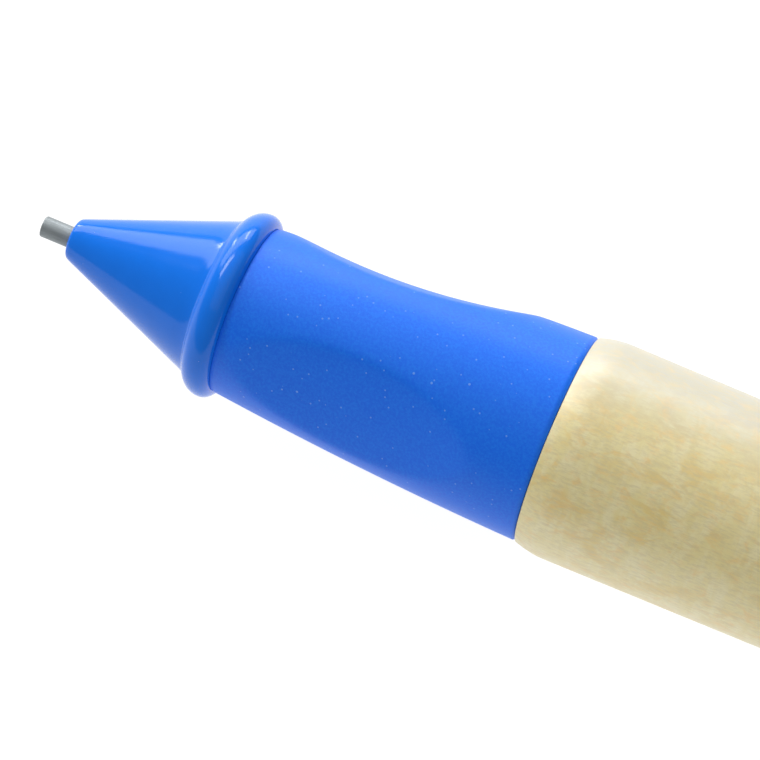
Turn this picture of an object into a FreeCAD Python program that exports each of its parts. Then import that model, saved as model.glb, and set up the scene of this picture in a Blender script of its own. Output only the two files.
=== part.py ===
import FreeCAD, Part
import math
import os

# A learner's mechanical pencil: blue nose cone with a bead, soft grip with three finger
# recesses, wooden barrel, hexagonal anti-roll collar and a push button at the back.
# Every piece is turned about one axis. A place along the pencil is its distance s from
# the writing end, so s grows from the lead's tip towards the push button. All sizes in mm.

V = FreeCAD.Vector

# ---- lead ---------------------------------------------------------------------------
lead_d = 1.4              # standard thick lead
lead_length = 60.0
lead_shows = 2.1          # length standing out of the nose
lead_chamfer = 0.08
wear_length = 0.30        # slanted facet written onto the point
wear_depth = 0.28
spare_count = 2
spare_spread = 90.0       # degrees between the two spare leads

# ---- outside of the front end -------------------------------------------------------
nose_tip_r = 1.34
nose_tip_round = 0.30
cone_length = 10.20       # from the nose's front face to the crease in front of the bead
cone_end_r = 5.28
bead_r = 6.27             # crest of the bead
bead_round = 1.40         # radius of the bead's rounding in front of its crest
bead_back_drop = 0.62     # how far its back edge lies under the crest
bead_crest_from_crease = 1.32
bead_width = 2.10         # from the front crease to the flat back face

grip_length = 21.5
grip_front_r = 5.60
grip_mid_r = 6.46
grip_back_r = 6.90
recess_count = 3
recess_turn = 53.0        # first recess, degrees from straight up towards -Y
recess_from_front = 1.1
recess_length = 16.3
recess_depth = 0.86
recess_cross_r = 38.0     # how gently a recess is rounded across the finger

# ---- barrel, collar and button ------------------------------------------------------
barrel_length = 79.9
barrel_front_r = 7.28
barrel_lip_r = 6.93       # at the very front edge, before the crowned shoulder
barrel_shoulder = 2.1     # length of the crowned shoulder
barrel_back_r = 6.50
barrel_back_round = 0.5

collar_length = 10.0
collar_corner_round = 2.2
collar_end_r = 7.00       # the rounded ends of the collar start from this radius
collar_end_length = 1.4
collar_seat_length = 2.9  # the length that sits round the core tube
button_r = 5.42
button_length = 14.6
button_bore_r = 3.93
button_end_wall = 3.0
button_dome = 2.0
button_edge_round = 0.6
button_mouth_edge = 0.3   # chamfer round its open end
button_gap = 0.08         # radial room of the button in the collar

# ---- inside: walls and steps, from the lead outwards --------------------------------
lead_bore_extra = 0.05    # radial room of the lead in the nose and the retainer
bite_gap = 0.02           # radial room between the jaws' bite and the lead
relief_gap = 0.16         # behind the bite
stem_gap = 0.10
neck_wall = 0.50          # wall of the stem and of the jaws' necks
head_step = 0.20          # the heads' back edge stands out of the necks
head_taper = 0.40         # and the heads grow by this much to the front
jaw_room = 0.35           # round the heads for the jaws to open into
jaw_kerf = 8.0            # degrees of the saw cut between two jaws
jaw_ring_gap = 0.04
ring_bore_gap = 0.10      # radial room of the clutch ring in the nose
sleeve_neck_room = 0.50   # between the necks and the sleeve's front hole
sleeve_step = 0.40        # the shoulder that the spring pushes on
sleeve_wall = 0.30
spigot_wall = 1.05
wall_thread = 0.65        # core tube's wall round the thread
flange_gap = 0.10
retainer_wall = 0.70
seat_gap = 0.08           # the spring's seat slides in the sleeve
neck_step = 0.17          # the connector's neck is this much thinner than its seat
wire_r = 0.17
wire_sides = 8            # the spring's round wire is drawn with eight flats
spare_room = 0.47         # the lead tube takes three leads side by side and this room
spare_gap = 0.07
tube_wall = 0.43
bush_wall = 0.54
core_wall = 0.80

# ---- inside: lengths ----------------------------------------------------------------
retainer_from_front = 4.1
lead_funnel = 0.5         # the nose's bore narrows to the lead over this length
retainer_length = 1.9
ring_stop_from_front = 11.3
spigot_length = 5.6       # threaded end of the nose
ring_length = 1.5
ring_travel = 0.9
ring_front_room = 0.15    # left between the ring and its stop at full travel
sleeve_length = 10.4
sleeve_front_wall = 2.0
sleeve_flange = 1.2
push_travel = 3.2
push_room = 0.3           # left in front of whatever stops last at full travel
jaw_count = 3
jaw_head_length = 2.55
jaw_nose_length = 0.4
jaw_length = 6.3
jaw_edge = 0.15           # the small slopes at the bite's mouth and behind the head
jaw_ring_lap = 1.3        # how far the ring sits over the heads' tapered back
spring_turns = 6.0
seat_length = 1.0
seat_from_sleeve_end = 1.2
socket_depth = 3.8        # the connector's hole for the stem
connector_collar = 1.2
connector_plug = 4.3
connector_funnel = 1.0    # at its back, which guides the next lead in
spare_from_plug = 1.0     # room between the connector and the spare leads
tube_stands_out = 0.8     # of the guide bush, with the button down
bush_length = 6.0
bush_from_core_end = 0.5
core_from_shoulder = 0.4
holder_plug = 6.1
holder_flange = 1.2
holder_cup = 4.2
holder_wall = 0.58
holder_floor = 0.2
eraser_length = 9.0
eraser_round = 0.8

# ---- clearances ---------------------------------------------------------------------
slip = 0.05               # radial room between pieces that are pushed together
run = 0.06                # radial room of a piece that slides
face_gap = 0.05           # between two faces that meet

# ---- radii, each from the one inside it ---------------------------------------------
lead_r = lead_d / 2
lead_bore_r = lead_r + lead_bore_extra
retainer_r = lead_bore_r + retainer_wall
jaw_bite_r = lead_r + bite_gap
jaw_relief_r = lead_r + relief_gap
stem_bore_r = lead_r + stem_gap
jaw_neck_r = stem_bore_r + neck_wall
jaw_head_back_r = jaw_neck_r + head_step
jaw_head_r = jaw_head_back_r + head_taper
chuck_room_r = jaw_head_r + jaw_room
sleeve_front_bore_r = jaw_neck_r + sleeve_neck_room
sleeve_bore_r = sleeve_front_bore_r + sleeve_step
sleeve_r = sleeve_bore_r + sleeve_wall
spring_mean_r = sleeve_bore_r - slip - wire_r
seat_r = sleeve_bore_r - seat_gap
connector_r = seat_r - neck_step
nose_bore_r = sleeve_r + slip
ring_r = nose_bore_r - ring_bore_gap
spigot_r = nose_bore_r + spigot_wall
thread_bore_r = spigot_r + slip
thread_wall_r = thread_bore_r + wall_thread
sleeve_flange_r = thread_bore_r - flange_gap
tube_bore_r = 3 * lead_r + spare_room
tube_r = tube_bore_r + tube_wall
spare_r = tube_bore_r - lead_r - spare_gap      # how far a spare lead lies from the axis
core_bore_r = tube_r + run + bush_wall + slip
core_r = core_bore_r + core_wall
barrel_bore_r = core_r + slip
holder_r = button_bore_r - slip
holder_bore_r = holder_r - holder_wall
eraser_r = holder_bore_r - slip

# ---- places along the pencil, each from the one before ------------------------------
nose_front = lead_shows
crease = nose_front + cone_length
nose_back = crease + bead_width
spigot_back = nose_back + spigot_length
grip_front = nose_back + face_gap
grip_back = grip_front + grip_length
barrel_front = grip_back + face_gap
barrel_back = barrel_front + barrel_length
collar_front = barrel_back + face_gap
collar_back = collar_front + collar_length
collar_shoulder = collar_front + collar_seat_length
core_front = nose_back + face_gap
core_back = collar_shoulder - core_from_shoulder

ring_stop = nose_front + ring_stop_from_front
ring_front = ring_stop + ring_front_room + ring_travel
sleeve_front = ring_front + ring_length + face_gap
flange_front = spigot_back + 2 * face_gap
flange_back = flange_front + sleeve_flange
sleeve_back = sleeve_front + sleeve_length
core_step = flange_back + face_gap
core_step_back = sleeve_back + 2 * face_gap

jaw_front = ring_front + jaw_ring_lap - jaw_head_length
jaw_back = jaw_front + jaw_length
stem_front = jaw_back + face_gap
spring_front = sleeve_front + sleeve_front_wall + 2 * face_gap
seat_front = sleeve_back - seat_from_sleeve_end
stem_back = seat_front + socket_depth
spring_back = seat_front - face_gap
neck_back = core_step_back + push_travel + push_room
plug_front = neck_back + connector_collar
plug_back = plug_front + connector_plug
tube_front = plug_front + face_gap
tube_back = core_back + push_travel + tube_stands_out
bush_back = core_back - bush_from_core_end

holder_front = tube_back + face_gap
cup_front = holder_front + holder_flange
cup_back = cup_front + holder_cup
eraser_front = cup_front + holder_floor
button_front = collar_shoulder + push_travel + push_room
button_back = button_front + button_length
length = button_back

# The barrel's fullest circle and one flat of the collar lie on the table.
axis_z = barrel_front_r
across_flats = 2 * barrel_front_r

beyond = 1.0                                    # a cutting tool starts and ends this far outside
arc_middle = 1 - math.sqrt(0.5)                 # a rounded corner's middle, as a share of its radius


def place(shape):
    """Move a shape from pencil places (s, 0, 0) into the part's own frame."""
    moved = shape.copy()
    moved.translate(V(-length / 2, 0, axis_z))
    return moved


def save(name, shape):
    solid = place(shape)
    if not solid.isValid():
        raise ValueError(name + " is not a valid solid")
    solid.exportStep("parts/" + name + ".step")
    print(name, "solids", len(solid.Solids), "volume", round(solid.Volume, 2))


def turned(*steps, angle=360.0):
    """Turn an outline of (s, r) corners about the axis; a pair of corners is an arc
    through the first to the second."""
    edges = []
    here = steps[0]
    for step in steps[1:] + (steps[0],):
        if isinstance(step[0], tuple):
            through, end = step
            arc = Part.Arc(V(here[0], 0, here[1]), V(through[0], 0, through[1]), V(end[0], 0, end[1]))
            edges.append(arc.toShape())
        else:
            end = step
            edges.append(Part.LineSegment(V(here[0], 0, here[1]), V(end[0], 0, end[1])).toShape())
        here = end
    outline = Part.Face(Part.Wire(edges))
    return outline.revolve(V(0, 0, 0), V(1, 0, 0), angle)


def tube(front, back, outer_r, inner_r):
    """A plain turned ring or tube."""
    return turned((front, inner_r), (back, inner_r), (back, outer_r), (front, outer_r))


def rod(front, back, r, chamfer=0.0):
    """A plain turned bar with chamfered ends."""
    if chamfer == 0.0:
        return turned((front, 0), (back, 0), (back, r), (front, r))
    return turned((front, 0), (back, 0), (back, r - chamfer), (back - chamfer, r),
                  (front + chamfer, r), (front, r - chamfer))


def round_profile(front, back, r, edge):
    """A turned bar whose two ends have rounded edges."""
    k = edge * arc_middle
    return turned((front, 0), (back, 0), (back, r - edge), ((back - k, r - k), (back - edge, r)),
                  (front + edge, r), ((front + k, r - k), (front, r - edge)))


def circle_through(a, b, c):
    """Centre and radius of the circle through three (s, r) points."""
    d = 2 * (a[0] * (b[1] - c[1]) + b[0] * (c[1] - a[1]) + c[0] * (a[1] - b[1]))
    aa = a[0] ** 2 + a[1] ** 2
    bb = b[0] ** 2 + b[1] ** 2
    cc = c[0] ** 2 + c[1] ** 2
    s = (aa * (b[1] - c[1]) + bb * (c[1] - a[1]) + cc * (a[1] - b[1])) / d
    r = (aa * (c[0] - b[0]) + bb * (a[0] - c[0]) + cc * (b[0] - a[0])) / d
    return s, r, math.hypot(a[0] - s, a[1] - r)


# ---- lead and spare leads -----------------------------------------------------------
def make_lead():
    stick = rod(0, lead_length, lead_r, lead_chamfer)
    # the worn facet is a plane that slants back and down from the tip
    slope = math.degrees(math.atan2(wear_depth, wear_length))
    side = 2 * lead_d
    block = Part.makeBox(side, side, side, V(-side, -side / 2, -side))
    block.rotate(V(0, 0, 0), V(0, 1, 0), slope - 90)
    block.translate(V(0, 0, -lead_r + wear_depth))
    return stick.cut(block)


def make_spare_leads():
    leads = []
    start = plug_back + spare_from_plug
    for i in range(spare_count):
        turn = math.radians((i - (spare_count - 1) / 2) * spare_spread)
        stick = rod(start, start + lead_length, lead_r, lead_chamfer)
        stick.translate(V(0, spare_r * math.sin(turn), -spare_r * math.cos(turn)))
        leads.append(stick)
    return Part.makeCompound(leads)


# ---- nose ---------------------------------------------------------------------------
def make_nose_cone():
    bead_s = crease + bead_crest_from_crease
    bead_centre_r = bead_r - bead_round
    reach = nose_back - bead_s
    back_round = (reach ** 2 + bead_back_drop ** 2) / (2 * bead_back_drop)
    half_reach = reach / 2
    half_r = bead_r - back_round + math.sqrt(back_round ** 2 - half_reach ** 2)
    slope = (cone_end_r - nose_tip_r) / cone_length
    tip = nose_tip_round
    cone = turned((nose_front, 0), (bead_s, 0), (bead_s, cone_end_r + slope * (bead_s - crease)),
                  (nose_front + tip, nose_tip_r + slope * tip),
                  ((nose_front + arc_middle * tip, nose_tip_r + (slope - 1) * arc_middle * tip),
                   (nose_front, nose_tip_r - tip)))
    half = bead_round * (1 - arc_middle)
    bead = turned((bead_s - bead_round, 0), (nose_back, 0), (nose_back, bead_r - bead_back_drop),
                  ((bead_s + half_reach, half_r), (bead_s, bead_r)),
                  ((bead_s - half, bead_centre_r + half), (bead_s - bead_round, bead_centre_r)))
    spigot = rod(nose_back - beyond, spigot_back, spigot_r)
    body = cone.fuse([bead, spigot]).removeSplitter()
    seat = nose_front + retainer_from_front
    seat_end = seat + retainer_length + 2 * face_gap
    bore = turned((nose_front - beyond, 0), (spigot_back + beyond, 0), (spigot_back + beyond, nose_bore_r),
                  (ring_stop, nose_bore_r), (ring_stop, chuck_room_r), (seat_end, chuck_room_r),
                  (seat_end, retainer_r + slip), (seat, retainer_r + slip),
                  (seat - lead_funnel, lead_bore_r), (nose_front - beyond, lead_bore_r))
    return body.cut(bore)


def make_lead_retainer():
    front = nose_front + retainer_from_front + face_gap
    return tube(front, front + retainer_length, retainer_r, lead_bore_r)


# ---- grip ---------------------------------------------------------------------------
def make_grip_sleeve():
    mid = (grip_front + grip_back) / 2
    ridge = [(grip_front, grip_front_r), (mid, grip_mid_r), (grip_back, grip_back_r)]
    cs, cr, big_r = circle_through(*ridge)

    def ridge_r(s):
        return cr + math.sqrt(big_r ** 2 - (s - cs) ** 2)

    inner_r = thread_wall_r + slip
    sleeve = turned((grip_front, inner_r), (grip_back, inner_r), ridge[2], (ridge[1], ridge[0]))
    start = grip_front + recess_from_front
    middle = start + recess_length / 2
    end = start + recess_length
    floor = [(start, ridge_r(start)), (middle, ridge_r(middle) - recess_depth), (end, ridge_r(end))]
    fs, fr, finger_r = circle_through(*floor)
    offset = recess_cross_r - floor[1][1]

    def floor_r(s):
        return fr - math.sqrt(finger_r ** 2 - (s - fs) ** 2) + offset

    before = grip_front - beyond
    after = grip_back + beyond
    for k in range(recess_count):
        # each recess is left by keeping what lies inside a waisted body whose own axis is
        # parallel to the pencil's, far over on the other side
        waist = turned((before, 0), (after, 0), (after, floor_r(after)),
                       ((middle, floor_r(middle)), (before, floor_r(before))))
        waist.translate(V(0, 0, -offset))
        waist.rotate(V(0, 0, 0), V(1, 0, 0), recess_turn + k * 360.0 / recess_count)
        sleeve = sleeve.common(waist)
    return sleeve


# ---- core tube, barrel and collar ---------------------------------------------------
def make_core_tube():
    return turned((core_front, thread_bore_r), (core_step, thread_bore_r),
                  (core_step, sleeve_r + slip), (core_step_back, sleeve_r + slip),
                  (core_step_back, core_bore_r), (core_back, core_bore_r), (core_back, core_r),
                  (grip_back, core_r), (grip_back, thread_wall_r), (core_front, thread_wall_r))


def make_barrel():
    shoulder = barrel_front + barrel_shoulder
    drop = barrel_front_r - barrel_lip_r
    crown_r = (barrel_shoulder ** 2 + drop ** 2) / (2 * drop)
    halfway = barrel_front + barrel_shoulder / 2
    halfway_r = barrel_front_r - crown_r + math.sqrt(crown_r ** 2 - (shoulder - halfway) ** 2)
    k = barrel_back_round * arc_middle
    return turned((barrel_front, barrel_bore_r), (barrel_back, barrel_bore_r),
                  (barrel_back, barrel_back_r - barrel_back_round),
                  ((barrel_back - k, barrel_back_r - k), (barrel_back - barrel_back_round, barrel_back_r)),
                  (shoulder, barrel_front_r),
                  ((halfway, halfway_r), (barrel_front, barrel_lip_r)))


def make_tail_collar():
    corner_r = across_flats / math.sqrt(3)
    corners = []
    for k in range(7):
        turn = math.radians(60 * k)
        corners.append(V(collar_front, corner_r * math.cos(turn), corner_r * math.sin(turn)))
    prism = Part.Face(Part.makePolygon(corners)).extrude(V(collar_length, 0, 0))
    long_edges = [e for e in prism.Edges if abs(e.Length - collar_length) < 1e-6]
    prism = prism.makeFillet(collar_corner_round, long_edges)
    near_full_r = corner_r - arc_middle * (corner_r - collar_end_r)
    arc_reach = arc_middle * collar_end_length
    ends = turned((collar_front, 0), (collar_back, 0), (collar_back, collar_end_r),
                  ((collar_back - arc_reach, near_full_r), (collar_back - collar_end_length, corner_r)),
                  (collar_front + collar_end_length, corner_r),
                  ((collar_front + arc_reach, near_full_r), (collar_front, collar_end_r)))
    button_room_r = button_r + button_gap
    bore = turned((collar_front - beyond, 0), (collar_back + beyond, 0),
                  (collar_back + beyond, button_room_r), (collar_shoulder, button_room_r),
                  (collar_shoulder, core_r + slip), (collar_front - beyond, core_r + slip))
    return prism.common(ends).cut(bore)


def make_guide_bush():
    return tube(bush_back - bush_length, bush_back, core_bore_r - slip, tube_r + run)


# ---- clutch -------------------------------------------------------------------------
def head_r(s):
    """Radius of the jaw heads' tapered back at s, with the button at rest."""
    start = jaw_front + jaw_nose_length
    end = jaw_front + jaw_head_length
    return jaw_head_r + (jaw_head_back_r - jaw_head_r) * (s - start) / (end - start)


def make_clutch_ring():
    back = ring_front + ring_length
    return turned((ring_front, head_r(ring_front) + jaw_ring_gap), (back, head_r(back) + jaw_ring_gap),
                  (back, ring_r), (ring_front, ring_r))


def make_clutch_sleeve():
    wall = sleeve_front + sleeve_front_wall
    return turned((sleeve_front, sleeve_front_bore_r), (wall, sleeve_front_bore_r),
                  (wall, sleeve_bore_r), (sleeve_back, sleeve_bore_r), (sleeve_back, sleeve_r),
                  (flange_back, sleeve_r), (flange_back, sleeve_flange_r),
                  (flange_front, sleeve_flange_r), (flange_front, sleeve_r), (sleeve_front, sleeve_r))


def make_chuck_jaw(k):
    head_back = jaw_front + jaw_head_length
    share = 360.0 / jaw_count
    jaw = turned((jaw_front, jaw_bite_r + jaw_edge), (jaw_front + jaw_edge, jaw_bite_r),
                 (head_back, jaw_bite_r), (head_back, jaw_relief_r), (jaw_back, jaw_relief_r),
                 (jaw_back, jaw_neck_r), (head_back + jaw_edge, jaw_neck_r), (head_back, jaw_head_back_r),
                 (jaw_front + jaw_nose_length, jaw_head_r), (jaw_front, jaw_head_r - jaw_nose_length),
                 angle=share - jaw_kerf)
    jaw.rotate(V(0, 0, 0), V(1, 0, 0), (jaw_kerf - share) / 2 + k * share)
    return jaw


def make_chuck_stem():
    return tube(stem_front, stem_back, jaw_neck_r, stem_bore_r)


def make_return_spring():
    height = spring_back - spring_front - 2 * wire_r
    helix = Part.makeHelix(height / spring_turns, height, spring_mean_r)
    section = []
    for k in range(wire_sides + 1):
        turn = math.radians((k + 0.5) * 360.0 / wire_sides)
        section.append(V(spring_mean_r + wire_r * math.cos(turn), 0, wire_r * math.sin(turn)))
    coil = Part.Wire(helix.Edges).makePipeShell([Part.makePolygon(section)], True, True)
    coil.rotate(V(0, 0, 0), V(0, 1, 0), 90)
    coil.translate(V(spring_front + wire_r, 0, 0))
    return coil


def make_connector():
    seat_back = seat_front + seat_length
    socket_r = jaw_neck_r + slip
    socket_back = stem_back + face_gap
    return turned((seat_front, socket_r), (socket_back, socket_r), (socket_back, stem_bore_r),
                  (plug_back - connector_funnel, stem_bore_r), (plug_back, stem_bore_r + connector_funnel),
                  (plug_back, tube_bore_r - slip), (plug_front, tube_bore_r - slip),
                  (plug_front, tube_r), (neck_back, tube_r), (neck_back, connector_r),
                  (seat_back, connector_r), (seat_back, seat_r), (seat_front, seat_r))


def make_lead_tube():
    return tube(tube_front, tube_back, tube_r, tube_bore_r)


# ---- eraser and button --------------------------------------------------------------
def make_eraser_holder():
    return turned((holder_front - holder_plug, 0), (cup_front, 0), (cup_front, holder_bore_r),
                  (cup_back, holder_bore_r), (cup_back, holder_r), (holder_front, holder_r),
                  (holder_front, tube_bore_r - slip), (holder_front - holder_plug, tube_bore_r - slip))


def make_eraser():
    return round_profile(eraser_front, eraser_front + eraser_length, eraser_r, eraser_round)


def make_push_button():
    dome_front = button_back - button_dome
    rim = button_r - button_edge_round
    dome_r = (button_dome ** 2 + rim ** 2) / (2 * button_dome)
    half = rim / 2
    half_s = button_back - dome_r + math.sqrt(dome_r ** 2 - half ** 2)
    corner = arc_middle * button_edge_round
    shell = turned((button_front, 0), (button_back, 0), ((half_s, half), (dome_front, rim)),
                   ((dome_front - corner, button_r - corner), (dome_front - button_edge_round, button_r)),
                   (button_front + button_mouth_edge, button_r),
                   (button_front, button_r - button_mouth_edge))
    bore = rod(button_front - beyond, button_back - button_end_wall, button_bore_r)
    return shell.cut(bore)


def main():
    os.makedirs("parts", exist_ok=True)
    save("lead", make_lead())
    save("spare_leads", make_spare_leads())
    save("nose_cone", make_nose_cone())
    save("lead_retainer", make_lead_retainer())
    save("grip_sleeve", make_grip_sleeve())
    save("core_tube", make_core_tube())
    save("barrel", make_barrel())
    save("tail_collar", make_tail_collar())
    save("guide_bush", make_guide_bush())
    save("clutch_ring", make_clutch_ring())
    save("clutch_sleeve", make_clutch_sleeve())
    for k in range(jaw_count):
        save("chuck_jaw_" + str(k + 1), make_chuck_jaw(k))
    save("chuck_stem", make_chuck_stem())
    save("return_spring", make_return_spring())
    save("connector", make_connector())
    save("lead_tube", make_lead_tube())
    save("eraser_holder", make_eraser_holder())
    save("eraser", make_eraser())
    save("push_button", make_push_button())
    print("length", length, "across flats", across_flats)


main()
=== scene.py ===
# %% [markdown]
# # A learner's mechanical pencil
# The pencil lies along X with its writing end at -X. Nearly every piece of it was turned in a
# lathe or moulded in a round mould, so nearly every piece here is an outline spun about the
# pencil's axis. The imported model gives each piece's place and size, and the pieces below are
# finer versions of it: rounded edges, a cut thread, soft finger recesses, a coiled spring.

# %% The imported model
import math

import bmesh
import bpy
from mathutils import Matrix, Vector, noise


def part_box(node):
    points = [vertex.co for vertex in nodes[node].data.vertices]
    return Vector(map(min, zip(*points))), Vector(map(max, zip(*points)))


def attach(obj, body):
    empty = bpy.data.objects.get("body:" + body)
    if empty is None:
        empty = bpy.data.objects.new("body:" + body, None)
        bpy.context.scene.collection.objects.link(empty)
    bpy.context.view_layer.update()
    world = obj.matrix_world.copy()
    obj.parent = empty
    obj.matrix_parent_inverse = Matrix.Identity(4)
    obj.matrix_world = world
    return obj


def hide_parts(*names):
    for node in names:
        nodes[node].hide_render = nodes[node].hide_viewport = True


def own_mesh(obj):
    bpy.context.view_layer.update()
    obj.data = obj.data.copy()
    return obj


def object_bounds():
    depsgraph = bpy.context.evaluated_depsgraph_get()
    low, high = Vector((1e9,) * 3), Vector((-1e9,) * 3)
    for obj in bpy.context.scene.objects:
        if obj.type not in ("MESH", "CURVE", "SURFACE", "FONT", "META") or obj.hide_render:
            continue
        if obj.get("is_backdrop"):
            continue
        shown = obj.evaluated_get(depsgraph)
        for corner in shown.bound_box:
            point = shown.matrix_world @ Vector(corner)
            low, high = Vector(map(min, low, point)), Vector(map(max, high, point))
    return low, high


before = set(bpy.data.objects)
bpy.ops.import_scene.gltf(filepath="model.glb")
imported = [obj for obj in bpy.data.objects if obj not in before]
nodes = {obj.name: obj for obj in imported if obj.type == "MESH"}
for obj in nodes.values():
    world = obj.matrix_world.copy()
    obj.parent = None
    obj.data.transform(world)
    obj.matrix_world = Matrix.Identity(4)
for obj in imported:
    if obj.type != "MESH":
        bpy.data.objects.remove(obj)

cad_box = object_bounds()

# %% [markdown]
# ## Measures
# A pencil maker measures along the pencil from its writing end and outwards from its axis, in
# millimetres. Here s is that distance and r is the radius. `span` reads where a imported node
# starts and ends, and `radius` how thick it is, so that no piece has to be fitted by eye.

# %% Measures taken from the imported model
MM = 0.001
tip_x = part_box("lead")[0].x
axis_z = (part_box("barrel")[0].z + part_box("barrel")[1].z) / 2
place = Matrix.Translation((tip_x, 0, axis_z)) @ Matrix.Scale(MM, 4)


def span(node):
    low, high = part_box(node)
    return (low.x - tip_x) / MM, (high.x - tip_x) / MM


def radius(node):
    low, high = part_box(node)
    return (high.z - low.z) / 2 / MM


print("length", round(span("push_button")[1], 2), "mm")
print("barrel radius", round(radius("barrel"), 2), "mm")

# %% [markdown]
# ## The camera
# The pencil is seen from close by and rather steeply from above, with its writing end to the
# upper left. A long lens 223 mm from the tip gives that mild perspective. The camera stands at
# an azimuth and an elevation round the tip, with its horizon level, so its three directions
# follow from those two angles. The tip lies up and to the left of the middle of the view, so
# the camera stands lower and to the right of it, and its lens needs no shift.

# %% The camera
AZIMUTH, ELEVATION = math.radians(24.11), math.radians(68.54)
SENSOR, LENS = 36.0, 163.85
TIP_DISTANCE = 223.0
TIP_LEFT, TIP_UP = 21.66, 9.92          # of the middle of the view, at the tip's distance

right = Vector((math.cos(AZIMUTH), math.sin(AZIMUTH), 0))
back = Vector((math.sin(AZIMUTH) * math.cos(ELEVATION),
               -math.cos(AZIMUTH) * math.cos(ELEVATION), math.sin(ELEVATION)))
up = back.cross(right)
tip = Vector((tip_x, 0, axis_z))

camera = bpy.data.objects.new("camera", bpy.data.cameras.new("camera"))
bpy.context.scene.collection.objects.link(camera)
camera.data.sensor_width = SENSOR
camera.data.lens = LENS
camera.data.clip_start, camera.data.clip_end = 0.01, 10.0
turn = Matrix((right, up, back)).transposed().to_4x4()
spot = tip + (TIP_LEFT * right - TIP_UP * up + TIP_DISTANCE * back) * MM
camera.matrix_world = Matrix.Translation(spot) @ turn
bpy.context.scene.camera = camera
print("camera at", [round(x, 4) for x in spot])

# %% [markdown]
# ## Floor and lights
# The pencil lies on a white light table. The table glows, so that it stays white under the
# pencil and throws light up at its underside. A wide soft box hangs low on the far side and
# brightens the far half of each round piece. A smaller one stands higher, to the left, and a
# large panel overhead fills the tops softly. Two small window lamps draw the narrow streaks on
# the glossy nose. The room itself is dim, which keeps the blue deep where it faces the camera.

# %% Floor
FLOOR_HALF, TABLE_GLOW = 1.5, 0.96
floor_bm = bmesh.new()
bmesh.ops.create_grid(floor_bm, x_segments=1, y_segments=1, size=FLOOR_HALF)
floor_mesh = bpy.data.meshes.new("floor")
floor_bm.to_mesh(floor_mesh)
floor_bm.free()
floor = bpy.data.objects.new("floor", floor_mesh)
bpy.context.scene.collection.objects.link(floor)
floor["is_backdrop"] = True

paper = bpy.data.materials.new("light_table")
paper.use_nodes = True
paper_shader = paper.node_tree.nodes["Principled BSDF"]
paper_shader.inputs["Base Color"].default_value = (0.15, 0.15, 0.15, 1)
paper_shader.inputs["Roughness"].default_value = 0.9
paper_shader.inputs["Emission Color"].default_value = (1, 1, 1, 1)
paper_shader.inputs["Emission Strength"].default_value = TABLE_GLOW
floor_mesh.materials.append(paper)

# %% Lights
ROOM_LIGHT = 0.30
AIM_FROM_TIP, LAMP_DISTANCE = 20.0, 0.60          # millimetres and metres

bpy.context.scene.view_settings.view_transform = "Standard"
room = bpy.data.worlds.new("room")
room.use_nodes = True
room.node_tree.nodes["Background"].inputs["Color"].default_value = (1.0, 1.0, 1.0, 1)
room.node_tree.nodes["Background"].inputs["Strength"].default_value = ROOM_LIGHT
bpy.context.scene.world = room


def soft_box(name, bearing, height_angle, width, height, power):
    """A lamp aimed at the grip, at a bearing from +Y towards -X and an angle above the table."""
    lamp = bpy.data.lights.new(name, "AREA")
    lamp.shape = "RECTANGLE"
    lamp.size, lamp.size_y = width, height
    lamp.energy = power
    obj = bpy.data.objects.new(name, lamp)
    bpy.context.scene.collection.objects.link(obj)
    bearing, height_angle = math.radians(bearing), math.radians(height_angle)
    away = Vector((-math.sin(bearing) * math.cos(height_angle),
                   math.cos(bearing) * math.cos(height_angle), math.sin(height_angle)))
    aim = tip + Vector((AIM_FROM_TIP * MM, 0, 0))
    facing = away.to_track_quat("Z", "Y").to_matrix().to_4x4()
    obj.matrix_world = Matrix.Translation(aim + away * LAMP_DISTANCE) @ facing


soft_box("far_box", 34, 20, 0.85, 0.26, 2.5)
soft_box("left_box", 60, 45, 0.30, 0.12, 1.1)
soft_box("top_box", 0, 84, 1.0, 1.0, 1.30)
soft_box("window_far", 20, 18, 0.05, 0.16, 0.30)
soft_box("window_left", 49, 6, 0.05, 0.10, 0.20)

# %% [markdown]
# ## Turning a piece
# A lathe hand starts with an outline and spins it. `spin_outline` does the same: a few corners
# (s, r, rounding), a vertex bevel that breaks the corners that have a rounding, and a full spin
# with its seam merged. A corner on the axis closes itself when its doubles are merged. A curve
# in an outline is several corners from a small formula.
#
# `finish_piece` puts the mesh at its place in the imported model's frame, shades it smooth apart
# from real edges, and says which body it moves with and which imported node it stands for.

# %% Helpers for turned pieces
X_AXIS = Vector((1, 0, 0))
ROUND_STEPS = 160
MERGE = 1e-4


def settle(bm):
    """Merge what touches and point the faces outwards."""
    bmesh.ops.remove_doubles(bm, verts=bm.verts, dist=MERGE)
    bmesh.ops.dissolve_degenerate(bm, edges=bm.edges, dist=MERGE / 10)
    bmesh.ops.recalc_face_normals(bm, faces=bm.faces)


def spin_outline(corners, steps=ROUND_STEPS, closed=True, segments=5):
    """A bmesh of the outline's corners, rounded and spun once about the pencil's axis."""
    bm = bmesh.new()
    verts = [bm.verts.new((c[0], 0, c[1])) for c in corners]
    for a, b in zip(verts, verts[1:]):
        bm.edges.new((a, b))
    if closed:
        bm.edges.new((verts[-1], verts[0]))
    roundings = sorted({c[2] for c in corners if len(c) > 2})
    for rounding in roundings:
        chosen = [v for v, c in zip(verts, corners) if len(c) > 2 and c[2] == rounding]
        bmesh.ops.bevel(bm, geom=chosen, offset=rounding, offset_type="OFFSET", affect="VERTICES",
                        segments=segments, profile=0.5, material=-1)
    bmesh.ops.spin(bm, geom=bm.verts[:] + bm.edges[:], cent=(0, 0, 0), axis=X_AXIS,
                   angle=math.tau, steps=steps, use_merge=True, use_duplicate=False)
    settle(bm)
    return bm


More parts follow.
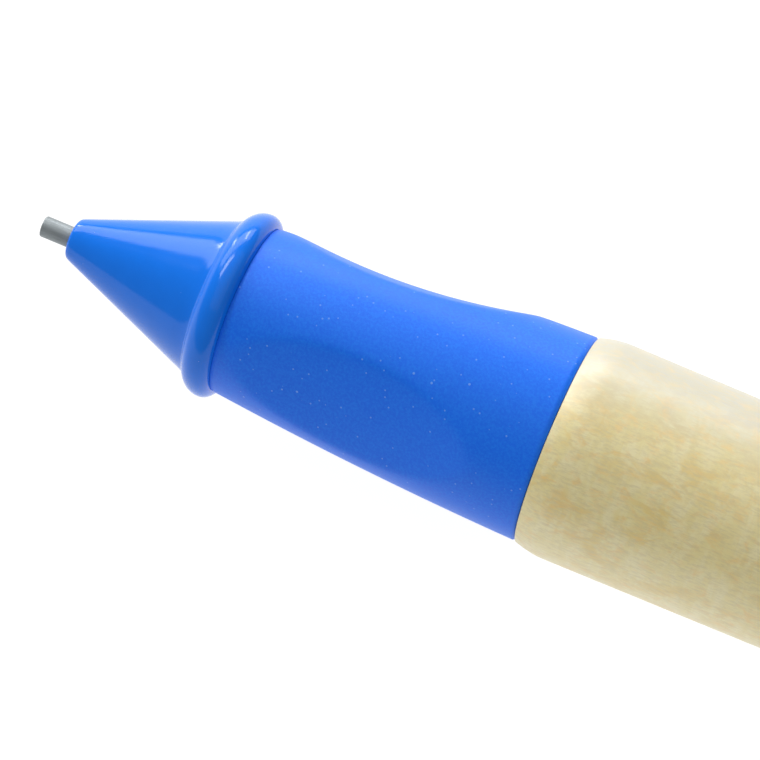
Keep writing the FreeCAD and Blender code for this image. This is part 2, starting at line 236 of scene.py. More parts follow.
def finish_piece(name, bm, body, slot, *nodes, sharp=40):
    """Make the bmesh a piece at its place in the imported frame, riding on its body."""
    bmesh.ops.transform(bm, matrix=place, verts=bm.verts)
    mesh = bpy.data.meshes.new(name)
    bm.to_mesh(mesh)
    bm.free()
    mesh.shade_smooth()
    mesh.set_sharp_from_angle(angle=math.radians(sharp))
    piece = bpy.data.objects.new(name, mesh)
    bpy.context.scene.collection.objects.link(piece)
    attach(piece, body)
    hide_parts(*nodes)
    print(name, len(mesh.polygons), "faces")
    return piece


def ease(x):
    """0 below 0, 1 above 1 and smooth in between."""
    x = max(0.0, min(1.0, x))
    return x * x * (3 - 2 * x)


# %% [markdown]
# ## The lead
# A 1.4 mm stick of graphite, worn to a slanted facet by writing. It is a turned bar cut by a
# plane. The cut's hole is filled, and the facet's rim is left with a tiny round, because
# graphite never keeps a sharp edge.

# %% The lead
lead_r = radius("lead")
lead_end = span("lead")[1]
WEAR_LENGTH, WEAR_DEPTH = 0.30, 0.28

bm = spin_outline([(0, 0), (0, lead_r, 0.07), (lead_end, lead_r, 0.07), (lead_end, 0)], 64,
                  closed=False)
slant = Vector((-WEAR_DEPTH, 0, -WEAR_LENGTH)).normalized()
bmesh.ops.bisect_plane(bm, geom=bm.verts[:] + bm.edges[:] + bm.faces[:], dist=1e-5,
                       plane_co=(0, 0, -lead_r + WEAR_DEPTH), plane_no=slant, clear_outer=True)
rim = [e for e in bm.edges if e.is_boundary]
bmesh.ops.edgeloop_fill(bm, edges=rim)
bmesh.ops.bevel(bm, geom=rim, offset=0.03, offset_type="OFFSET", affect="EDGES", segments=2,
                profile=0.5, material=-1)
settle(bm)
lead = finish_piece("writing_lead", bm, "lead_stick", "lead", "lead")

# %% [markdown]
# ## The nose
# One moulding in glossy blue: a cone, a round bead where the fingertips stop, and behind it a
# spigot that screws into the pencil. The cone and the bead meet in a small crease. The bead is
# a wide arc in front of its crest and a tighter one behind, which ends on a flat back face. The
# thread is cut into the spigot by moving its points inwards along a helix of 1.1 mm pitch,
# right-handed, fading out at both ends. Inside are the lead's bore, a funnel, the seat of the
# rubber ring that holds the lead, and the room that the chuck's jaws open into.

# %% The nose's sizes
nose_front, nose_end = span("nose_cone")
LEAD_SLIP = 0.05
lead_bore = lead_r + LEAD_SLIP
CONE_LENGTH, CONE_END_R, NOSE_TIP_R = 10.20, 5.28, 1.34
BEAD_ROUND, BEAD_BACK_ROUND, BEAD_WIDTH, CREST_FROM_CREASE = 1.40, 0.80, 2.10, 1.32
CREASE_STEP, CREASE_ROUND = 0.04, 0.12
SPIGOT_R, NOSE_BORE_R, CHUCK_ROOM_R, SEAT_R = 3.60, 2.55, 2.25, 1.5
FUNNEL_FRONT, SEAT_FRONT, SEAT_BACK, ROOM_BACK = 3.6, 4.1, 6.1, 11.3    # from the nose's front
THREAD_PITCH, THREAD_DEPTH, THREAD_MARGIN, THREAD_FADE = 1.1, 0.38, 0.25, 0.5
THREAD_SLOPE, THREAD_FLAT = 2.6, 0.2
bead_r = radius("nose_cone")
crease = nose_front + CONE_LENGTH
nose_back = crease + BEAD_WIDTH
crest = crease + CREST_FROM_CREASE


def bead_radius(s):
    size = BEAD_ROUND if s < crest else BEAD_BACK_ROUND
    return bead_r - size + math.sqrt(max(0.0, size ** 2 - (s - crest) ** 2))


# %% The nose's outline, spin and thread
BEAD_STEPS, CONE_STEPS, THREAD_RINGS = 36, 24, 70
cone = [(nose_front, NOSE_TIP_R - 0.02, 0.22)]
for k in range(1, CONE_STEPS):
    share = k / CONE_STEPS
    cone.append((nose_front + CONE_LENGTH * share, NOSE_TIP_R + (CONE_END_R - NOSE_TIP_R) * share))
start_r = CONE_END_R + CREASE_STEP
first = crest - math.sqrt(BEAD_ROUND ** 2 - (start_r - bead_r + BEAD_ROUND) ** 2)
bead = []
for k in range(BEAD_STEPS + 1):
    s = first + (nose_back - first) * math.sin(math.pi / 2 * k / BEAD_STEPS)
    bead.append((s, bead_radius(s)))
bead[0] = (bead[0][0], bead[0][1], CREASE_ROUND)
spigot = [(nose_back, SPIGOT_R)]
for k in range(1, THREAD_RINGS):
    spigot.append((nose_back + (nose_end - nose_back) * k / THREAD_RINGS, SPIGOT_R))
seat_front, seat_back = nose_front + SEAT_FRONT, nose_front + SEAT_BACK
room_back = nose_front + ROOM_BACK
inside = [(nose_end, SPIGOT_R - 0.05, 0.12), (nose_end, NOSE_BORE_R, 0.1),
          (room_back, NOSE_BORE_R), (room_back, CHUCK_ROOM_R),
          (seat_back, CHUCK_ROOM_R), (seat_back, SEAT_R), (seat_front, SEAT_R),
          (nose_front + FUNNEL_FRONT, lead_bore), (nose_front, lead_bore, 0.05)]
bm = spin_outline(cone + bead + spigot + inside)
for v in bm.verts:
    r = math.hypot(v.co.y, v.co.z)
    if v.co.x > nose_back + 0.01 and r > SPIGOT_R - 0.02:
        phase = (v.co.x - nose_back) / THREAD_PITCH - math.atan2(v.co.z, v.co.y) / math.tau
        groove = ease(THREAD_SLOPE * abs(phase % 1.0 - 0.5) - THREAD_FLAT)
        fade_in = ease((v.co.x - nose_back - THREAD_MARGIN) / THREAD_FADE)
        fade_out = ease((nose_end - THREAD_MARGIN - v.co.x) / THREAD_FADE)
        shrink = 1 - THREAD_DEPTH * groove * (fade_in * fade_out) / r
        v.co.y *= shrink
        v.co.z *= shrink
nose = finish_piece("nose_moulding", bm, "nose", "blue_gloss", "nose_cone", sharp=35)

# %% [markdown]
# ## The grip
# A soft blue sleeve, waisted by three long recesses for the thumb and two fingers. Its ridge
# line is one gentle arc from the bead to the wood. Each recess is what a large waisted roller
# would press into it: a wide arc across the finger and a shallow arc along it. A soft minimum
# between the ridge and the three rollers gives the recesses the soft rims of moulded rubber.

# %% The grip's shape
GRIP_FRONT_R, GRIP_MID_R, GRIP_BACK_R = 5.60, 6.46, 6.90
GRIP_INNER_R = 4.35
RECESS_TURN, RECESS_FROM_FRONT, RECESS_LENGTH = math.radians(53.0), 1.1, 16.3
RECESS_DEPTH, ROLLER_R, RIM_SOFTNESS = 0.86, 38.0, 0.10
grip_front, grip_back = span("grip_sleeve")
grip_mid = (grip_front + grip_back) / 2


def circle_through(a, b, c):
    """Middle and radius of the circle through three (s, r) points."""
    (x1, y1), (x2, y2), (x3, y3) = a, b, c
    d = 2 * (x1 * (y2 - y3) + x2 * (y3 - y1) + x3 * (y1 - y2))
    q1, q2, q3 = x1 * x1 + y1 * y1, x2 * x2 + y2 * y2, x3 * x3 + y3 * y3
    cx = (q1 * (y2 - y3) + q2 * (y3 - y1) + q3 * (y1 - y2)) / d
    cy = (q1 * (x3 - x2) + q2 * (x1 - x3) + q3 * (x2 - x1)) / d
    return cx, cy, math.hypot(x1 - cx, y1 - cy)


ridge_s, ridge_c, ridge_size = circle_through((grip_front, GRIP_FRONT_R), (grip_mid, GRIP_MID_R),
                                              (grip_back, GRIP_BACK_R))


def ridge(s):
    return ridge_c + math.sqrt(ridge_size ** 2 - (s - ridge_s) ** 2)


recess_front = grip_front + RECESS_FROM_FRONT
recess_mid = recess_front + RECESS_LENGTH / 2
recess_back = recess_front + RECESS_LENGTH
floor_r = ridge(recess_mid) - RECESS_DEPTH
roller_s, roller_c, roller_size = circle_through((recess_front, ridge(recess_front)),
                                                 (recess_mid, floor_r),
                                                 (recess_back, ridge(recess_back)))
roller_offset = ROLLER_R - floor_r


def recess(s, angle):
    """Radius that one roller leaves at s, at an angle from the middle of its recess."""
    reach = roller_c - math.sqrt(roller_size ** 2 - (s - roller_s) ** 2) + roller_offset
    across = roller_offset * math.sin(angle)
    return math.sqrt(reach ** 2 - across ** 2) - roller_offset * math.cos(angle)


def grip_radius(s, turn):
    """Ridge or recess, whichever is lower, with a soft change from one to the other."""
    r = ridge(s)
    for k in range(3):
        angle = (turn - RECESS_TURN - k * math.tau / 3 + math.pi) % math.tau - math.pi
        if abs(angle) < math.pi / 2:
            gap = recess(s, angle) - r
            r += 0.5 * (gap - math.sqrt(gap * gap + RIM_SOFTNESS ** 2))
    return r


# %% The grip's mesh
GRIP_RINGS, SEAM, FRONT_ROUND, BACK_ROUND = 120, 0.012, 0.03, 0.14
ROUGH_R = 5.0          # of the plain tube, before its outside is shaped
skin_front = nose_back + SEAM
skin_step = (grip_back - skin_front) / GRIP_RINGS
outer = [(skin_front + skin_step * k, ROUGH_R) for k in range(GRIP_RINGS + 1)]
inner = [(grip_back, GRIP_INNER_R), (skin_front, GRIP_INNER_R)]
bm = spin_outline(outer + inner, 192)
for v in bm.verts:
    if math.hypot(v.co.y, v.co.z) > (ROUGH_R + GRIP_INNER_R) / 2:
        turn = math.atan2(-v.co.y, v.co.z)
        size = FRONT_ROUND if v.co.x < grip_mid else BACK_ROUND
        to_end = min(v.co.x - skin_front, grip_back - v.co.x, size)
        drop = size - math.sqrt(size ** 2 - (size - to_end) ** 2)
        r = grip_radius(max(v.co.x, grip_front), turn) - drop
        v.co.y, v.co.z = -r * math.sin(turn), r * math.cos(turn)
grip = finish_piece("grip_rubber", bm, "handle", "blue_soft", "grip_sleeve", sharp=50)

# %% [markdown]
# ## The barrel
# A maple tube with a crowned front edge and a slight taper to the back. The crown is the arc
# that takes the lip to full thickness over 2.1 mm.

# %% The barrel
LIP_R, SHOULDER, BARREL_BACK_R, BARREL_BORE_R = 6.93, 2.1, 6.50, 4.50
barrel_front, barrel_back = span("barrel")
full_r = radius("barrel")
crown_size = (SHOULDER ** 2 + (full_r - LIP_R) ** 2) / (2 * (full_r - LIP_R))
CROWN_STEPS, TAPER_STEPS = 16, 40
outline = [(barrel_front, BARREL_BORE_R, 0.2), (barrel_front, LIP_R, 0.06)]
for k in range(1, CROWN_STEPS + 1):
    s = SHOULDER * k / CROWN_STEPS
    outline.append((barrel_front + s,
                    full_r - crown_size + math.sqrt(crown_size ** 2 - (SHOULDER - s) ** 2)))
for k in range(1, TAPER_STEPS):
    share = k / TAPER_STEPS
    outline.append((barrel_front + SHOULDER + (barrel_back - barrel_front - SHOULDER) * share,
                    full_r + (BARREL_BACK_R - full_r) * share))
outline += [(barrel_back, BARREL_BACK_R, 0.45), (barrel_back, BARREL_BORE_R, 0.2)]
bm = spin_outline(outline, 192)
barrel = finish_piece("maple_barrel", bm, "handle", "maple", "barrel")

# %% [markdown]
# ## The tail collar
# A blue collar with six rounded corners stops the pencil from rolling off a desk. It starts as
# a hexagon whose corners are rounded by a vertex bevel, drawn out along the pencil. One corner
# points to +Y, so that the pencil rests on a flat. Its two ends are then turned round: any point
# that stands out of a turned end is pulled in to it. The bore is a spun outline, bridged to the
# hexagon at both ends.

# %% The tail collar
collar_front, collar_back = span("tail_collar")
flat_r = radius("tail_collar")
CORNER_ROUND, COLLAR_END_R, COLLAR_END = 2.2, 7.00, 1.4
COLLAR_SEAT, COLLAR_BORE_R, BUTTON_ROOM_R = 2.9, 4.50, 5.50
COLLAR_RINGS, CORNER_STEPS, FLAT_CUTS, CORNER_SPARE = 60, 8, 13, 0.2
corner_r = flat_r * 2 / math.sqrt(3)

bm = bmesh.new()
ring = bmesh.ops.create_circle(bm, segments=6, radius=corner_r)["verts"]
bmesh.ops.bevel(bm, geom=ring, offset=CORNER_ROUND * math.tan(math.radians(30)),
                offset_type="OFFSET", affect="VERTICES", segments=CORNER_STEPS, profile=0.5,
                material=-1)
flats = [e for e in bm.edges if e.calc_length() > CORNER_ROUND]
bmesh.ops.subdivide_edges(bm, edges=flats, cuts=FLAT_CUTS)
bmesh.ops.rotate(bm, verts=bm.verts, cent=(0, 0, 0), matrix=Matrix.Rotation(math.pi / 2, 3, "Y"))
loop = bm.edges[:]
for v in bm.verts:
    v.co.x = collar_front
step = (collar_back - collar_front) / COLLAR_RINGS
for k in range(COLLAR_RINGS):
    grown = bmesh.ops.extrude_edge_only(bm, edges=loop)["geom"]
    grown_verts = [g for g in grown if isinstance(g, bmesh.types.BMVert)]
    bmesh.ops.translate(bm, verts=grown_verts, vec=(step, 0, 0))
    loop = [g for g in grown if isinstance(g, bmesh.types.BMEdge)]
for v in bm.verts:
    r = math.hypot(v.co.y, v.co.z)
    to_end = min(v.co.x - collar_front, collar_back - v.co.x)
    rise = math.sqrt(max(0.0, 1 - (1 - min(1.0, to_end / COLLAR_END)) ** 2))
    limit = COLLAR_END_R + (corner_r + CORNER_SPARE - COLLAR_END_R) * rise
    if r > limit:
        v.co.y *= limit / r
        v.co.z *= limit / r
seat = collar_front + COLLAR_SEAT
bore = spin_outline([(collar_front, COLLAR_BORE_R), (seat, COLLAR_BORE_R, 0.05),
                     (seat, BUTTON_ROOM_R, 0.05), (collar_back, BUTTON_ROOM_R)],
                    120, closed=False)
bore_mesh = bpy.data.meshes.new("collar_bore")
bore.to_mesh(bore_mesh)
bore.free()
bm.from_mesh(bore_mesh)
bpy.data.meshes.remove(bore_mesh)
for end in (collar_front, collar_back):
    rims = [e for e in bm.edges if e.is_boundary and abs(e.verts[0].co.x - end) < MERGE * 10]
    bmesh.ops.bridge_loops(bm, edges=rims)
settle(bm)
collar = finish_piece("hex_collar", bm, "handle", "blue_gloss", "tail_collar", sharp=35)

# %% [markdown]
# ## The push button
# A blue cap with a domed end. It pulls off to reach the eraser. Two fine grooves near its open
# end are there for the fingernails.

# %% The push button
button_front, button_back = span("push_button")
button_r = radius("push_button")
BUTTON_BORE_R, END_WALL, DOME, SHOULDER_ROUND, DOME_STEPS = 3.93, 3.0, 2.0, 0.6, 20
GROOVES_FROM_MOUTH, GROOVE_HALF, GROOVE_DEPTH = (3.2, 2.4), 0.18, 0.14
rim_r = button_r - SHOULDER_ROUND
dome_size = (DOME ** 2 + rim_r ** 2) / (2 * DOME)
dome = []
for k in range(DOME_STEPS):
    r = rim_r * k / DOME_STEPS
    dome.append((button_back - dome_size + math.sqrt(dome_size ** 2 - r ** 2), r))
dome.append((button_back - DOME, button_r - 0.12, 0.42))
side = []
for from_mouth in GROOVES_FROM_MOUTH:
    groove = button_front + from_mouth
    side += [(groove + GROOVE_HALF, button_r, 0.05), (groove, button_r - GROOVE_DEPTH, 0.06),
             (groove - GROOVE_HALF, button_r, 0.05)]
mouth = [(button_front, button_r, 0.3), (button_front, BUTTON_BORE_R, 0.15)]
pocket = button_back - END_WALL
hollow = [(pocket, BUTTON_BORE_R, 0.3), (pocket, 0)]
bm = spin_outline(dome + side + mouth + hollow, 144, closed=False)
button = finish_piece("button_cap", bm, "cap", "blue_gloss", "push_button", sharp=35)

# %% [markdown]
# ## The eraser and its holder
# A white vinyl plug in a thin plastic cup. The plug's end is rounded over and slightly lumpy
# from use, which a little noise along each point's own direction gives.

# %% The eraser and its holder
holder_front, holder_back = span("eraser_holder")
eraser_front, eraser_back = span("eraser")
holder_r, eraser_r = radius("eraser_holder"), radius("eraser")
PLUG_R, CUP_BORE_R, CUP_DEPTH, HOLDER_PLUG = 2.52, 3.30, 4.2, 6.1
floor_s = holder_back - CUP_DEPTH
step_s = holder_front + HOLDER_PLUG
bm = spin_outline([(holder_front, 0), (holder_front, PLUG_R, 0.25), (step_s, PLUG_R),
                   (step_s, holder_r, 0.1), (holder_back, holder_r, 0.15),
                   (holder_back, CUP_BORE_R, 0.15), (floor_s, CUP_BORE_R, 0.1), (floor_s, 0)],
                  128, closed=False)
holder = finish_piece("eraser_cup", bm, "eraser_unit", "core_plastic", "eraser_holder")

WORN, PLUG_RINGS, END_ROUND = 0.10, 24, 0.95
plug_length = eraser_back - eraser_front
outline = [(eraser_front, 0), (eraser_front, eraser_r, 0.3)]
outline += [(eraser_front + plug_length * k / PLUG_RINGS, eraser_r)
            for k in range(4, PLUG_RINGS - 2)]
outline += [(eraser_back, eraser_r, END_ROUND), (eraser_back, eraser_r * 0.45), (eraser_back, 0)]
bm = spin_outline(outline, 96, closed=False, segments=8)
for v in bm.verts:
    used = ease((v.co.x - eraser_back + 2.5) / 2.0)
    inward = Vector((v.co.x - eraser_back + 3, v.co.y, v.co.z)).normalized()
    v.co -= inward * WORN * used * (0.5 + 0.5 * noise.noise(v.co * 1.1))
eraser = finish_piece("eraser_plug", bm, "eraser_unit", "eraser_white", "eraser")

# %% [markdown]
# ## The return spring
# Six turns of steel wire. A small circle is screwed along the axis: a spin that also moves a
# little forward at each step. The first and last turns move less, because a coiler closes them
# so that the spring stands square, and the wire's two ends are filled. It shortens as the
# button is pushed.

# %% The return spring
spring_front, spring_back = span("return_spring")
spring_r = radius("return_spring")
WIRE_R, TURNS, CLOSED_PITCH, STEPS_PER_TURN = 0.17, 6, 0.40, 32
bm = bmesh.new()
wire = bmesh.ops.create_circle(bm, segments=10, radius=WIRE_R)["verts"]
bmesh.ops.rotate(bm, verts=wire, cent=(0, 0, 0), matrix=Matrix.Rotation(math.pi / 2, 3, "X"))
bmesh.ops.translate(bm, verts=wire, vec=(spring_front + WIRE_R, 0, spring_r - WIRE_R))
open_pitch = (spring_back - spring_front - 2 * WIRE_R - 2 * CLOSED_PITCH) / (TURNS - 2)
end = bm.edges[:]
for turns, pitch in ((1, CLOSED_PITCH), (TURNS - 2, open_pitch), (1, CLOSED_PITCH)):
    spun = bmesh.ops.spin(bm, geom=end, cent=(0, 0, 0), axis=X_AXIS,
                          dvec=(pitch / STEPS_PER_TURN, 0, 0), angle=math.tau * turns,
                          steps=turns * STEPS_PER_TURN, use_merge=False, use_duplicate=False)
    end = [g for g in spun["geom_last"] if isinstance(g, bmesh.types.BMEdge)]
bmesh.ops.holes_fill(bm, edges=[e for e in bm.edges if e.is_boundary], sides=12)
settle(bm)
spring = finish_piece("coil_spring", bm, "handle", "steel", "return_spring", sharp=60)
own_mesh(spring)

# %% [markdown]
# ## Writing a finish as sums
# Each finish below is worked out from a few noises. `Signal` wraps one socket, so that a sum
# such as `grain * 0.4 + speck` adds the Math nodes by itself. Every other node comes from
# `Signal.node`: the node's type, its settings, then the values or links of its sockets. A colour
# goes through `blend`, because a Math node would turn it grey.

# %% The Signal class
MIX_FACTOR, MIX_A, MIX_B, MIX_RESULT = 0, 6, 7, 2


class Signal:
    """A number, place or colour on its way through one material's nodes."""

    def __init__(self, tree, socket=None):
        self.tree = tree
        self.socket = socket

    def node(self, kind, settings=None, links=None, out=0):
        made = self.tree.nodes.new(kind)
        for name, value in (settings or {}).items():
            setattr(made, name, value)
        for name, value in (links or {}).items():
            if isinstance(value, Signal):
                self.tree.links.new(value.socket, made.inputs[name])
            else:
                made.inputs[name].default_value = value
        return Signal(self.tree, made.outputs[out])

    def maths(self, operation, *values):
        return self.node("ShaderNodeMath", {"operation": operation}, dict(enumerate(values)))

    def __add__(self, other):
        return self.maths("ADD", self, other)

    def __rsub__(self, other):
        return self.maths("SUBTRACT", other, self)

    def __mul__(self, other):
        return self.maths("MULTIPLY", self, other)

    __radd__ = __add__

    def step(self, low, high):
        """0 where the signal is under low, 1 where it is over high, smooth in between."""
        return self.node("ShaderNodeMapRange", {"interpolation_type": "SMOOTHSTEP"},
                         {"Value": self, "From Min": low, "From Max": high})

    def blend(self, a, b):
        """The colour a where this signal is 0 and b where it is 1."""
        return self.node("ShaderNodeMix", {"data_type": "RGBA"},
                         {MIX_FACTOR: self, MIX_A: a, MIX_B: b}, MIX_RESULT)


# %% [markdown]
# ## Places and noises
# Every pattern is laid out in millimetres from the writing end, on the pencil's axis, so a
# Mapping node moves the object's coordinates there and scales them. `grain` is a noise that can
# be stretched: a small figure along an axis makes long streaks along it. `specks` are the small
# round spots nearest to scattered points, which serve for dust and for pores.

# %% Finish helpers


def start_finish(name, **constants):
    """A new material, its shader and the place signal in millimetres."""
    material = bpy.data.materials.new(name)
    material.use_nodes = True
    tree = material.node_tree
    shader = tree.nodes["Principled BSDF"]
    for socket, value in constants.items():
        shader.inputs[socket.replace("_", " ")].default_value = value
    begin = Signal(tree)
    object_place = begin.node("ShaderNodeTexCoord", out=3)
    spot = begin.node("ShaderNodeMapping", {"vector_type": "POINT"},
                      {"Vector": object_place, "Location": (-tip_x / MM, 0, -axis_z / MM),
                       "Scale": (1 / MM, 1 / MM, 1 / MM)})
    return material, shader, spot


def stretched(spot, sx, sy, sz):
    return spot.node("ShaderNodeVectorMath", {"operation": "MULTIPLY"}, {0: spot, 1: (sx, sy, sz)})


def grain(spot, scale, detail=2.0, rough=0.5, stretch=(1, 1, 1), warp=0.0):
    """A noise from 0 to 1 whose blobs are about 1/scale millimetres across."""
    return spot.node("ShaderNodeTexNoise", {"noise_dimensions": "3D"},
                     {"Vector": stretched(spot, *stretch), "Scale": scale, "Detail": detail,
                      "Roughness": rough, "Distortion": warp})


def specks(spot, scale, size, share):
    """1 on small round spots. Only a share of the cells holds one."""
    near = spot.node("ShaderNodeTexVoronoi", {"feature": "F1"}, {"Vector": spot, "Scale": scale})
    cell = spot.node("ShaderNodeTexVoronoi", {"feature": "F1"}, {"Vector": spot, "Scale": scale},
                     out=1)
    luck = spot.node("ShaderNodeSeparateColor", links={"Color": cell})
    return (1 - near.step(size * 0.5, size)) * (1 - luck.step(share, share + 0.01))


def wire_up(shader, **signals):
    for socket, signal in signals.items():
        shader.id_data.links.new(signal.socket, shader.inputs[socket.replace("_", " ")])


def bump(height, distance):
    """A Bump node: height 0 to 1 stands for this many metres."""
    return height.node("ShaderNodeBump", links={"Height": height, "Distance": distance})


def paint(material, *pieces):
    for piece in pieces:
        if not piece.data.materials:
            piece.data.materials.append(material)
        for k in range(len(piece.data.materials)):
            piece.data.materials[k] = material
    print(material.name, [p.name for p in pieces])


# %% [markdown]
# ## Glossy blue plastic
# The nose, collar and button are moulded in a hard glossy plastic. Its colour is very even, so
# the finish lives in the gloss: faint smears from handling, hairlines along the cone and a few
# grains of dust.

# %% Glossy blue plastic
blue_gloss, shader, spot = start_finish("glossy_blue_plastic", IOR=1.5, Specular_IOR_Level=0.30)
smear = grain(spot, 0.35, 3.0)
cloud = grain(spot, 0.9, 2.0)
hairline = grain(spot, 1.0, 2.0, stretch=(0.12, 9, 9)).step(0.70, 0.78)
dust = specks(spot, 1.1, 0.05, 0.22)
colour = cloud.blend((0.003, 0.168, 0.79, 1), (0.004, 0.184, 0.85, 1))
colour = (dust * 0.5).blend(colour, (0.25, 0.50, 1.0, 1))
wire_up(shader, Base_Color=colour, Roughness=0.09 + smear * 0.08 + hairline * 0.08 + dust * 0.4,
        Normal=bump(hairline * -0.2 + grain(spot, 2.2, 2.0) * 0.5 + dust, 0.004 * MM))
paint(blue_gloss, nose, collar, button)

# %% [markdown]
# ## Soft blue rubber
# The grip has the same blue, but its skin is fine and matt, like the skin of a peach. It
# scatters a broad pale sheen towards the light and picks up dust.

# %% Soft blue rubber
blue_soft, shader, spot = start_finish("soft_blue_rubber", IOR=1.5, Specular_IOR_Level=0.32,
                                       Sheen_Weight=0.10, Sheen_Roughness=0.35)
skin = grain(spot, 5.5, 3.0, 0.65)
cloud = grain(spot, 0.5, 3.0)
fine_dust = specks(spot, 2.0, 0.16, 0.40)
lint = specks(spot, 0.9, 0.09, 0.30)
dust = fine_dust * 0.45 + lint * 0.55
colour = cloud.blend((0.001, 0.142, 0.89, 1), (0.002, 0.162, 0.95, 1))
colour = (skin.step(0.35, 0.7) * 0.5).blend(colour, (0.010, 0.245, 1.0, 1))
colour = dust.blend(colour, (0.25, 0.50, 1.0, 1))
wire_up(shader, Base_Color=colour, Roughness=0.38 + skin * 0.12 + cloud * 0.06,
        Normal=bump(skin + dust * 0.5, 0.010 * MM))
paint(blue_soft, grip)

# %% [markdown]
# ## Lacquered maple
# Maple is cream with soft tan blotches in bands that come and go, a few warmer spots, a curl
# that runs across the grain and fine fibres along it. The side of the barrel towards +Y, which
# faces the lights, is painted paler and greyer: a painted sheen for the glare on its lit side,
# which also damps the warm spots there. The lacquer gives it one broad sheen, so it is a coat with
# a high index and a middling roughness over a matt wood.

# %% Lacquered maple
maple, shader, spot = start_finish("lacquered_maple", IOR=1.5, Specular_IOR_Level=0.8,
                                   Coat_Weight=1.0, Coat_Roughness=0.42, Coat_IOR=1.8)
band = grain(spot, 0.22, 2.0, stretch=(0.5, 1, 1), warp=0.8)
blotch = grain(spot, 0.75, 4.0, 0.62, stretch=(0.60, 1, 1), warp=0.7)
knot = grain(spot, 1.4, 3.0, 0.60, stretch=(0.65, 1, 1), warp=0.5)
curl = grain(spot, 0.9, 3.0, 0.60, stretch=(1.6, 0.40, 0.40), warp=0.5)
fibre = grain(spot, 6.0, 4.0, 0.70, stretch=(0.25, 1, 1))
across = spot.node("ShaderNodeSeparateXYZ", links={"Vector": spot}, out=1)
# Painted sheen: the +Y side, which faces the lights, is painted paler and greyer to stand in for
# its glare.
painted_sheen_side = (across + blotch * 3.0).step(0.0, 6.5)
tan = blotch.step(0.44, 0.66) * band.step(0.34, 0.56)
colour = band.blend((0.86, 0.75, 0.34, 1), (0.82, 0.69, 0.27, 1))
colour = (curl.step(0.38, 0.66) * 0.50).blend(colour, (0.92, 0.84, 0.52, 1))
colour = (tan * 0.85).blend(colour, (0.80, 0.60, 0.17, 1))
# The painted sheen's pale grey over the lit +Y side, which also damps the warm spots there.
colour = (painted_sheen_side * 0.80).blend(colour, (0.49, 0.485, 0.44, 1))
colour = (knot.step(0.47, 0.76) * (0.75 - painted_sheen_side * 0.40)).blend(colour, (0.86, 0.59, 0.17, 1))
colour = (fibre.step(0.40, 0.68) * 0.52).blend(colour, (0.64, 0.54, 0.27, 1))
wire_up(shader, Base_Color=colour, Roughness=0.46 + fibre * 0.15,
        Normal=bump(fibre * 0.7 + curl * 0.3, 0.008 * MM))
paint(maple, barrel)

# %% [markdown]
# ## Graphite
# Pressed graphite is grey with a dull metallic sheen and fine streaks along the stick.

# %% Graphite
graphite, shader, spot = start_finish("graphite", Metallic=0.35)
streak = grain(spot, 6.0, 3.0, 0.6, stretch=(0.12, 1, 1))
fleck = grain(spot, 5.0, 2.0)
colour = streak.blend((0.175, 0.20, 0.21, 1), (0.34, 0.375, 0.39, 1))
wire_up(shader, Base_Color=colour, Roughness=0.36 + fleck * 0.2,
        Normal=bump(streak * 0.7 + fleck * 0.3, 0.008 * MM))
paint(graphite, lead, nodes["spare_leads"])

# %% [markdown]
# ## Brass and steel
# The clutch is turned brass: fine rings from the tool, a few stains. The spring is drawn steel
# wire with faint lines.

# %% Brass and steel
brass, shader, spot = start_finish("turned_brass", Metallic=1.0)
rings = grain(spot, 14.0, 2.0, stretch=(1, 0.02, 0.02))
stain = grain(spot, 0.9, 3.0)
colour = stain.blend((0.62, 0.42, 0.15, 1), (0.86, 0.66, 0.30, 1))
wire_up(shader, Base_Color=colour, Roughness=0.20 + rings * 0.15 + stain * 0.12,
        Normal=bump(rings, 0.006 * MM))
paint(brass, nodes["clutch_ring"], nodes["clutch_sleeve"], nodes["chuck_jaw_1"],
      nodes["chuck_jaw_2"], nodes["chuck_jaw_3"], nodes["chuck_stem"])

steel, shader, spot = start_finish("drawn_steel", Metallic=1.0)
line = grain(spot, 6.0, 2.0)
colour = line.blend((0.50, 0.51, 0.53, 1), (0.72, 0.73, 0.75, 1))
wire_up(shader, Base_Color=colour, Roughness=0.24 + line * 0.14, Normal=bump(line, 0.003 * MM))
paint(steel, spring)

# %% [markdown]
# ## Inner plastics, rubber ring and eraser
# The inner mouldings are uncoloured plastic with a slight cloudiness. The lead tube is drawn,
# so it is smoother, with faint lines along it. The ring that holds the lead is black rubber, and
# the eraser is matt white vinyl with a grey smudge on its used end.

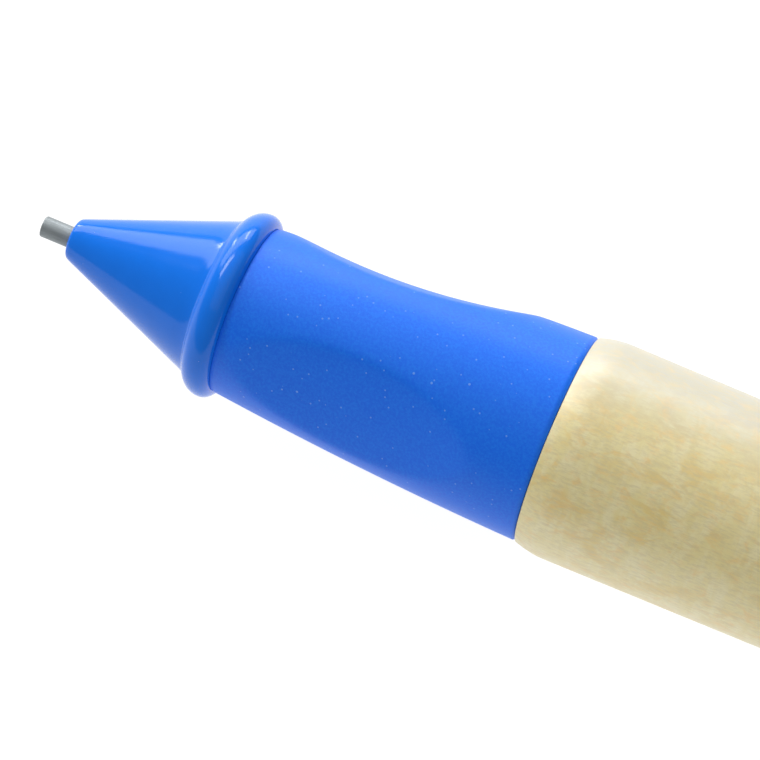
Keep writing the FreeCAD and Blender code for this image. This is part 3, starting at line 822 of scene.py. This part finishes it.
# %% Inner plastics
core_plastic, shader, spot = start_finish("natural_plastic")
cloud = grain(spot, 0.6, 3.0)
colour = cloud.blend((0.62, 0.63, 0.65, 1), (0.76, 0.77, 0.78, 1))
wire_up(shader, Base_Color=colour, Roughness=0.34 + cloud * 0.18,
        Normal=bump(grain(spot, 5.0, 2.0), 0.004 * MM))
paint(core_plastic, holder, nodes["core_tube"], nodes["guide_bush"], nodes["connector"])

tube_plastic, shader, spot = start_finish("drawn_tube_plastic")
line = grain(spot, 5.0, 2.0, stretch=(0.05, 1, 1))
colour = line.blend((0.72, 0.73, 0.75, 1), (0.84, 0.85, 0.86, 1))
wire_up(shader, Base_Color=colour, Roughness=0.18 + line * 0.14, Normal=bump(line, 0.003 * MM))
paint(tube_plastic, nodes["lead_tube"])

# %% Rubber ring and eraser
retainer_rubber, shader, spot = start_finish("black_rubber")
bloom = grain(spot, 2.5, 3.0)
colour = bloom.blend((0.018, 0.018, 0.020, 1), (0.06, 0.06, 0.065, 1))
wire_up(shader, Base_Color=colour, Roughness=0.60 + bloom * 0.2, Normal=bump(bloom, 0.01 * MM))
paint(retainer_rubber, nodes["lead_retainer"])

eraser_vinyl, shader, spot = start_finish("white_vinyl")
along = spot.node("ShaderNodeSeparateXYZ", links={"Vector": spot})
used = along.step(eraser_back - 1.6, eraser_back - 0.1) * grain(spot, 0.9, 3.0).step(0.4, 0.65)
pores = grain(spot, 4.0, 3.0)
colour = pores.blend((0.80, 0.80, 0.77, 1), (0.88, 0.88, 0.86, 1))
colour = (used * 0.7).blend(colour, (0.30, 0.30, 0.31, 1))
wire_up(shader, Base_Color=colour, Roughness=0.62 + pores * 0.2, Normal=bump(pores, 0.02 * MM))
paint(eraser_vinyl, eraser)

# %% [markdown]
# ## Size
# The finer pieces have to fit the imported model, so both boxes are printed one under the other.

# %% Size and finish
visual_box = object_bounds()
for name, box in (("packed model", cad_box), ("pieces", visual_box)):
    print(name, "mm", [round((high - low) / MM, 2) for low, high in zip(*box)])
